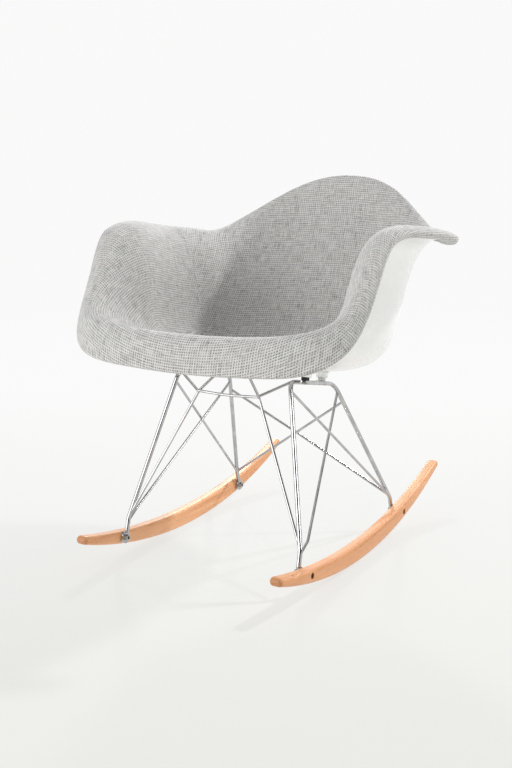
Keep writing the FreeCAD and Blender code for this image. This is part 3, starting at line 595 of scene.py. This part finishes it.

# %% [markdown]
# ## Chrome, zinc and painted recess shade
# The wires are bright chrome with a faint haze. The nuts, screws and inserts are zinc plated and duller.
# The bolts and washers deep in the rockers are painted near black, as painted shade for their recesses.
# All are one metal with a tint and a roughness that wander by a noise, so one function makes the three.

# %% Metals
def metal(name, dark, light, rough, grain):
    """A metal whose tint and roughness wander by a noise; grain is the noise's scale."""
    finish = Finish(name, Metallic=1.0)
    haze = finish.noise(finish.place(), scale=grain, detail=4.0, roughness=0.6)
    scratch = finish.noise(finish.place(scale=(1, 1, 6)), scale=grain * 14, detail=2.0)
    colour = finish.mix(haze.smooth(0.3, 0.7), dark, light)
    return finish.wear(Base_Color=colour, Roughness=rough * (0.6 + haze * 0.8) + scratch * 0.03,
                       height=scratch, depth=0.00002)


chrome = metal("bright_chrome", (0.43, 0.435, 0.44, 1), (0.57, 0.575, 0.58, 1), rough=0.12, grain=38.0)
# Painted shade: the bolts and washers sit deep in the rockers' recesses and are made near black for the shade
# there.
recess_shade = metal("painted_recess_shade", (0.025, 0.022, 0.02, 1), (0.06, 0.055, 0.05, 1), rough=0.5, grain=160.0)
zinc = metal("zinc_plate", (0.36, 0.35, 0.33, 1), (0.55, 0.54, 0.51, 1), rough=0.38, grain=160.0)
SIDED_WIRES = ["side_frame", "rear_foot_brace", "front_foot_brace", "rear_cross_brace", "mount_tab_front",
               "mount_tab_rear"]
WIRES = [name + side for name in SIDED_WIRES for side in ("_left", "_right")]
WIRES += ["front_cross_wire", "front_arch_wire"]
FASTENERS = ["rocker_nuts", "mount_screws", "threaded_inserts"]
dress(chrome, *[nodes[name] for name in WIRES])
dress(zinc, *[nodes[name] for name in FASTENERS])
dress(recess_shade, nodes["rocker_bolts"], nodes["rocker_washers"])

# %% [markdown]
# ## Beech
# The rockers are cut from beech boards: a pinkish pale wood with a fine straight grain along the length and
# short dark flecks. The grain is noise drawn out along the board, the flecks are a sharper
# noise of the same kind, and the cut ends are darker.

# %% Beech
ROCKER_END, END_FADE = 0.352, 0.008
BEECH_TONES = (0.92, 0.485, 0.242, 1), (0.74, 0.325, 0.13, 1)
GRAIN_LINE, FLECK_BROWN, END_BROWN = (0.48, 0.22, 0.10, 1), (0.34, 0.15, 0.07, 1), (0.46, 0.19, 0.075, 1)


def beech_finish():
    """Wood whose tone follows noise drawn out along Y, darker where y squared nears the rocker's end."""
    finish = Finish("lacquered_beech", Coat_Weight=0.15, Coat_Roughness=0.3)
    grain = finish.noise(finish.place(scale=(70, 2.2, 70)), detail=5.0, roughness=0.62)
    fine_grain = finish.noise(finish.place(scale=(520, 9, 520)), detail=2.0)
    fleck = finish.noise(finish.place(scale=(900, 130, 900)), detail=1.0).smooth(0.63, 0.74)
    patch = finish.noise(finish.place(scale=(8, 3, 8)), detail=2.0)
    base = finish.mix((grain * 0.7 + patch * 0.5).smooth(0.35, 0.85), *BEECH_TONES)
    lines = finish.mix(fine_grain.smooth(0.45, 0.8) * 0.35, base, GRAIN_LINE)
    flecked = finish.mix(fleck * 0.4, lines, FLECK_BROWN)
    length = finish.axis(finish.place(), "Y")
    end_grain = (length * length).smooth(ROCKER_END**2 - END_FADE, ROCKER_END**2) * 0.8
    colour = finish.mix(end_grain, flecked, END_BROWN)
    return finish.wear(Base_Color=colour, Roughness=0.38 + grain * 0.16 + fleck * 0.1,
                       height=fine_grain * 0.5 - fleck, depth=0.0002)


dress(beech_finish(), nodes["rocker_left"], nodes["rocker_right"])

# %% [markdown]
# ## Rubber and nylon
# The front spacers are black rubber and the rear ones white nylon, both with a fine moulded grain. They
# differ in tone and roughness alone, so one function makes both.

# %% Spacers
def moulded(name, dark, light, rough):
    """A matt moulding: its tone wanders by a slow noise, its roughness and bump by a fine one."""
    finish = Finish(name)
    grain = finish.noise(finish.place(), scale=700.0)
    patch = finish.noise(finish.place(), scale=90.0, detail=2.0)
    return finish.wear(Base_Color=finish.mix(patch, dark, light), Roughness=rough + grain * 0.15,
                       height=grain, depth=0.0001)


rubber = moulded("black_rubber", (0.012, 0.012, 0.012, 1), (0.03, 0.03, 0.029, 1), rough=0.55)
nylon = moulded("white_nylon", (0.70, 0.70, 0.68, 1), (0.80, 0.80, 0.785, 1), rough=0.40)
dress(rubber, nodes["mount_spacer_front_left"], nodes["mount_spacer_front_right"])
dress(nylon, nodes["mount_spacer_rear_left"], nodes["mount_spacer_rear_right"])

# %% [markdown]
# ## Floor
# The studio is white all over, and the floor runs on behind into the backdrop without an edge. The paper
# shines a little by itself, more so farther back, and takes less light there, so the backdrop stays even
# while the shadows near the chair still show.

# %% Floor
FLOOR_REACH, BEND_START, BEND_RADIUS, BEND_STEPS = (-9.0, -4.0, 0.0, 4.0), 6, 2.5, 16
WALL_HEIGHT, HALF_WIDTH, WIDTH_STEPS, FLOOR_DROP = 9.0, 12, 13, 0.0004
NEAR_GLOW, FAR_GLOW = (0.523, 0.523, 0.5, 1), (0.945, 0.945, 0.943, 1)
NEAR_PAPER, FAR_PAPER = (0.265, 0.265, 0.26, 1), (0.01, 0.01, 0.01, 1)
scene.view_settings.view_transform = "Standard"


def sweep_floor():
    """A floor that turns up into a backdrop: a straight run, a quarter round and a wall, in one grid."""
    turn = np.linspace(0, math.pi / 2, BEND_STEPS)
    reach = np.concatenate([FLOOR_REACH, BEND_START + BEND_RADIUS * np.sin(turn), [BEND_START + BEND_RADIUS]])
    lift = np.concatenate([np.zeros(len(FLOOR_REACH)), BEND_RADIUS * (1 - np.cos(turn)), [WALL_HEIGHT]])
    side = np.linspace(-HALF_WIDTH, HALF_WIDTH, WIDTH_STEPS)
    away = np.array([-math.sin(AZIMUTH), math.cos(AZIMUTH), 0])
    wide = np.array([math.cos(AZIMUTH), math.sin(AZIMUTH), 0])
    grid = reach[:, None, None] * away + side[None, :, None] * wide + lift[:, None, None] * UP
    return grid - UP * FLOOR_DROP


floor_grid = sweep_floor()
floor_faces = grid_faces(*floor_grid.shape[:2], closed=False)[:, ::-1]
floor_mesh = bpy.data.meshes.new("studio_floor")
floor_mesh.from_pydata(floor_grid.reshape(-1, 3).tolist(), [], floor_faces.tolist())
floor_mesh.polygons.foreach_set("use_smooth", np.ones(len(floor_mesh.polygons), bool))
floor = bpy.data.objects.new("studio_floor", floor_mesh)
scene.collection.objects.link(floor)
paper = Finish("studio_paper", Roughness=0.7, Specular_IOR_Level=0.0, Emission_Strength=1.0)
far = paper.axis(paper.place(turn=(0, 0, -AZIMUTH)), "Y").smooth(-1.4, 1.6)
glow = paper.mix(far, NEAR_GLOW, FAR_GLOW)
matt = paper.mix(far, NEAR_PAPER, FAR_PAPER)
dress(paper.wear(Base_Color=matt, Emission_Color=glow), floor)

# %% [markdown]
# ## Light
# The main light is small and stands behind the chair at the viewer's right, so the shadows fall forwards to
# the left. A weaker one stands straight behind. Large soft ones fill in from above, from the left in
# front and from the right.

# %% Lights
# Name, place, the point it faces, size in metres and power in watts.
LIGHTS = (
    ("key_light", (1.46, 2.09, 2.7), (0, 0, 0.4), 0.2, 70.0),
    ("rear_light", (-1.5, 2.4, 1.9), (0, 0, 0.4), 0.25, 38.0),
    ("overhead_light", (0.2, -0.4, 3.2), (0, -0.1, 0.4), 2.0, 12.0),
    ("front_softbox", (-1.2, -2.7, 1.0), (0, 0, 0.35), 2.6, 70.0),
    ("side_softbox", (2.8, -0.3, 1.1), (0, 0, 0.4), 0.8, 18.0),
)


def area_light(name, place, target, size, power):
    """A soft square light, tilted and turned so that it faces a point."""
    data = bpy.data.lights.new(name, "AREA")
    data.size, data.energy = size, power
    light = bpy.data.objects.new(name, data)
    light.location = place
    x, y, z = np.subtract(place, target)
    light.rotation_euler = (math.atan2(math.hypot(x, y), z), 0, math.atan2(x, -y))
    scene.collection.objects.link(light)
    print(name, power, "W")


for row in LIGHTS:
    area_light(*row)

# %% [markdown]
# ## Air
# Chrome and gloss show what is round them. The air is white towards the backdrop and grey behind the viewer,
# so the wires get both bright and dark streaks.

# %% World
AIR_DARK, AIR_LIGHT, AIR_STRENGTH, AIR_RISE = (0.20, 0.20, 0.20, 1), (1, 1, 1, 1), 0.37, 0.55

world = bpy.data.worlds.new("studio_air")
world.use_nodes = True
air = Nodes(world.node_tree)
way = air.node("ShaderNodeTexCoord", out="Generated")
ahead = (-math.sin(AZIMUTH), math.cos(AZIMUTH), AIR_RISE)
towards_set = air.node("ShaderNodeVectorMath", {"operation": "DOT_PRODUCT"}, {0: way, 1: ahead}, out="Value")
sky = air.mix(towards_set.smooth(-0.75, 0.35), AIR_DARK, AIR_LIGHT)
background = world.node_tree.nodes["Background"]
world.node_tree.links.new(sky.socket, background.inputs["Color"])
background.inputs["Strength"].default_value = AIR_STRENGTH
scene.world = world
print("world:", world.name)
